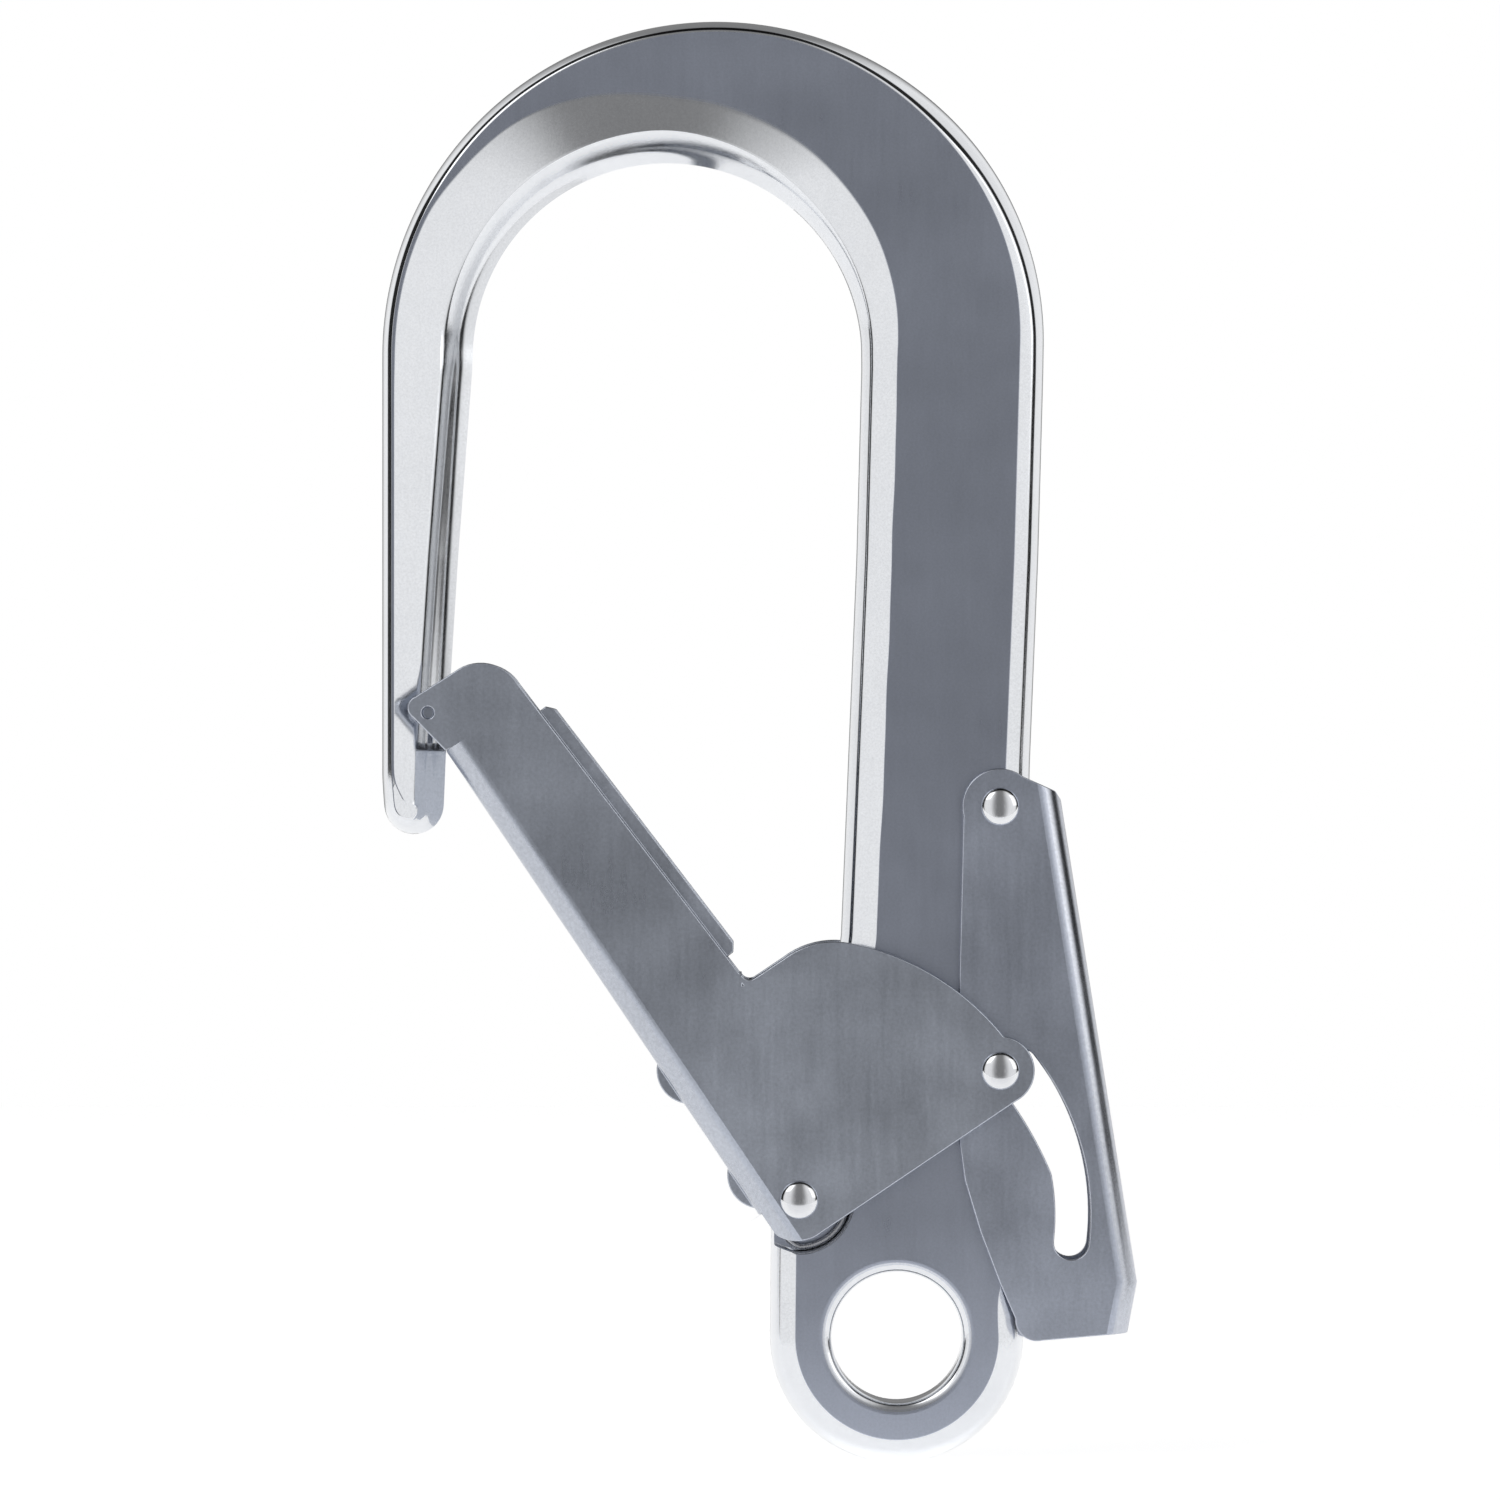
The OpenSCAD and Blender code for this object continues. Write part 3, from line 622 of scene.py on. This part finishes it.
gateSpring = dict(wire=0.6, coil=3.75, wall=8.05, low=3.95, high=7.75, start=-165, sweep=1061, spare=46, leg=14)
leverSpring = dict(wire=0.4, coil=2.1, start=-6.55, end=8.25, turns=6, below=18)


def onRing(radius, degrees, y):
    a = np.radians(degrees)
    return np.stack([gatePivot[0] + radius * np.cos(a), y + 0 * a, gatePivot[1] + radius * np.sin(a)], 1)


def gateSpringPaths(g):
    # the fixed leg round the recess wall, a quadratic bend in to the coil, and the helix
    # (R cos a, y rising evenly, R sin a); then the straight leg along the gate's web
    fixed = onRing(g["wall"], np.arange(-10, -92, -4.0), g["low"])
    u = np.linspace(0, 1, 12)[1:-1, None]
    end, coilStart = fixed[-1], onRing(g["coil"], np.array([g["start"]]), g["low"])[0]
    knee = onRing(g["wall"] - 0.8, np.array([-122.0]), g["low"])[0]
    bend = (1 - u) ** 2 * end + 2 * u * (1 - u) * knee + u ** 2 * coilStart
    t = np.arange(0, g["sweep"] + g["spare"], 8.0)
    rise = np.minimum(t / g["sweep"], 1)
    coil = onRing(g["coil"], g["start"] - t, 0.0)
    coil[:, 1] = g["low"] + (g["high"] - g["low"]) * rise
    legStart = onRing(g["coil"], np.array([g["start"] - g["sweep"]]), g["high"])[0]
    along = np.array([-math.sin(gateTurn), 0, math.cos(gateTurn)])
    outward = np.array([math.cos(gateTurn), 0, math.sin(gateTurn)])
    m = np.linspace(0, 1, 8)[:, None]
    leg = legStart + m * (g["leg"] * along - 0.1 * outward)
    return np.vstack([fixed, bend, coil]), leg


coilPath, legPath = gateSpringPaths(gateSpring)
for side, end, node in ((-1, "Front", "gate_spring_front"), (1, "Rear", "gate_spring_rear")):
    flip = np.array([1, side, 1])
    # the wire is painted lighter where it turns away from the Y axis: a painted sheen
    coil = makeMesh("gateSpringCoil" + end, *tube(coilPath * flip, [0, 1, 0], gateSpring["wire"]))
    paintedHighlightEdges(coil, 0.2, 1.0, 50)
    finishPiece(coil, "springWire", "hook", "spring_wire", node)
    leg = makeMesh("gateSpringLeg" + end, *tube(legPath * flip, [0, 1, 0], gateSpring["wire"]))
    paintedHighlightEdges(leg, 0.2, 1.0, 50)
    finishPiece(leg, "springWire", "gate", "spring_wire")


def makeLeverSpring(s):
    # helix about the lever's outward direction: start + x outward + R (sin a, cos a) across it
    outward = np.array([math.cos(leverTurn), 0, math.sin(leverTurn)])
    along = np.array([-math.sin(leverTurn), 0, math.cos(leverTurn)])
    middle = np.array([leverPivot[0], 0, leverPivot[1]]) - s["below"] * along
    a = np.linspace(0, 2 * np.pi * s["turns"], 40 * s["turns"])
    across = np.sin(a)[:, None] * np.array([0, 1, 0]) + np.cos(a)[:, None] * along
    x = s["start"] + (s["end"] - s["start"]) * a / a[-1]
    path = middle + x[:, None] * outward + s["coil"] * across
    piece = makeMesh("leverSpring", *tube(path, across, s["wire"], 10))
    # the wire is painted lighter where it turns away from the Y axis: a painted sheen
    paintedHighlightEdges(piece, 0.2, 1.0, 50)
    finishPiece(piece, "springWire", "hook", "spring_wire", "lever_spring")
    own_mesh(piece)


makeLeverSpring(leverSpring)


# ---- camera, floor and light

studio = dict(frameWidth=0.25, distance=2.0, lens=288, aimX=-0.02442, aimZ=0.09758,
              floorZ=-0.0211, floorFront=-0.2, floorBack=2.0, floorHalf=2.5)

camera = bpy.data.objects.new("camera", bpy.data.cameras.new("camera"))
scene.collection.objects.link(camera)
camera.data.lens = studio["lens"]
camera.data.sensor_width = 36
camera.location = (studio["aimX"], -studio["distance"], studio["aimZ"])
camera.rotation_euler = (math.radians(90), 0, 0)
camera.data.clip_end = 50
scene.camera = camera


def floorMaterial():
    # pale and plain; the part that the camera and metal see is lifted to white, and the shadow stays in it
    material = bpy.data.materials.new("floorPaper")
    material.use_nodes = True
    nodes, links = material.node_tree.nodes, material.node_tree.links
    nodes.clear()
    output = nodes.new("ShaderNodeOutputMaterial")
    diffuse = nodes.new("ShaderNodeBsdfDiffuse")
    diffuse.inputs["Color"].default_value = (0.8, 0.8, 0.8, 1)
    glow = nodes.new("ShaderNodeEmission")
    both = nodes.new("ShaderNodeAddShader")
    path = nodes.new("ShaderNodeLightPath")
    seen = nodes.new("ShaderNodeMath")
    seen.operation = "ADD"
    seen.use_clamp = True
    links.new(path.outputs["Is Camera Ray"], seen.inputs[0])
    links.new(path.outputs["Is Glossy Ray"], seen.inputs[1])
    lift = nodes.new("ShaderNodeMath")
    lift.operation = "MULTIPLY"
    lift.inputs[1].default_value = 0.74
    links.new(seen.outputs[0], lift.inputs[0])
    links.new(lift.outputs[0], glow.inputs["Strength"])
    links.new(diffuse.outputs[0], both.inputs[0])
    links.new(glow.outputs[0], both.inputs[1])
    links.new(both.outputs[0], output.inputs["Surface"])
    return material


def makeFloor(s):
    # a flat sheet of paper, with nothing upright that would hide the object from behind
    corners = [(-s["floorHalf"], s["floorFront"]), (s["floorHalf"], s["floorFront"]),
               (s["floorHalf"], s["floorBack"]), (-s["floorHalf"], s["floorBack"])]
    piece = makeMesh("floor", np.array([(x, y, s["floorZ"]) for x, y in corners]) / mm, [[0, 1, 2, 3]])
    piece.data.materials.append(floorMaterial())


makeFloor(studio)


def tentWorld():
    # a light tent: bright to the left and right, dim in the upright plane that the flat faces look
    # into, and dark in a belt half way round that draws the dark lines along rounded edges;
    # light = belt(|y|) x sides(|x|)
    world = bpy.data.worlds.new("lightTent")
    scene.world = world
    world.use_nodes = True
    nodes, links = world.node_tree.nodes, world.node_tree.links
    background = nodes["Background"]
    where = nodes.new("ShaderNodeTexCoord")
    split = nodes.new("ShaderNodeSeparateXYZ")
    links.new(where.outputs["Generated"], split.inputs[0])

    def band(axis, stops):
        size = nodes.new("ShaderNodeMath")
        size.operation = "ABSOLUTE"
        links.new(split.outputs[axis], size.inputs[0])
        ramp = nodes.new("ShaderNodeValToRGB")
        links.new(size.outputs[0], ramp.inputs[0])
        elements = ramp.color_ramp.elements
        elements[0].position, elements[1].position = stops[0][0], stops[-1][0]
        for position, value in stops[1:-1]:
            elements.new(position)
        for element, (position, value) in zip(elements, stops):
            element.color = (value, value, value, 1)
        return ramp.outputs[0]

    light = nodes.new("ShaderNodeMix")
    light.data_type = "RGBA"
    light.blend_type = "MULTIPLY"
    light.inputs["Factor"].default_value = 1
    links.new(band("Y", tent["belt"]), light.inputs["A"])
    links.new(band("X", tent["sides"]), light.inputs["B"])
    path = nodes.new("ShaderNodeLightPath")
    mix = nodes.new("ShaderNodeMix")
    mix.data_type = "RGBA"
    mix.inputs["B"].default_value = (1, 1, 1, 1)
    links.new(path.outputs["Is Camera Ray"], mix.inputs["Factor"])
    links.new(light.outputs["Result"], mix.inputs["A"])
    links.new(mix.outputs["Result"], background.inputs["Color"])


# each stop is a size of the direction's component and the light there
tent = dict(
    belt=[(0.0, 0.02), (0.34, 0.02), (0.50, 0.85), (0.80, 0.95), (1.0, 0.95)],
    sides=[(0.0, 0.24), (0.14, 0.26), (0.38, 1.0), (1.0, 1.0)],
)
tentWorld()
lamps = dict(
    key=dict(place=(-0.9, -0.9, 1.1), size=0.9, power=2.6),
    fill=dict(place=(1.1, -0.7, 0.6), size=0.9, power=1.8),
)
for name, lamp in lamps.items():
    light = bpy.data.lights.new(name, "AREA")
    light.size, light.energy = lamp["size"], lamp["power"]
    holder = bpy.data.objects.new(name, light)
    holder.location = lamp["place"]
    target = Vector((studio["aimX"], 0, studio["aimZ"])) - Vector(lamp["place"])
    holder.rotation_euler = target.to_track_quat("-Z", "Y").to_euler()
    scene.collection.objects.link(holder)
print("camera, floor and light set")
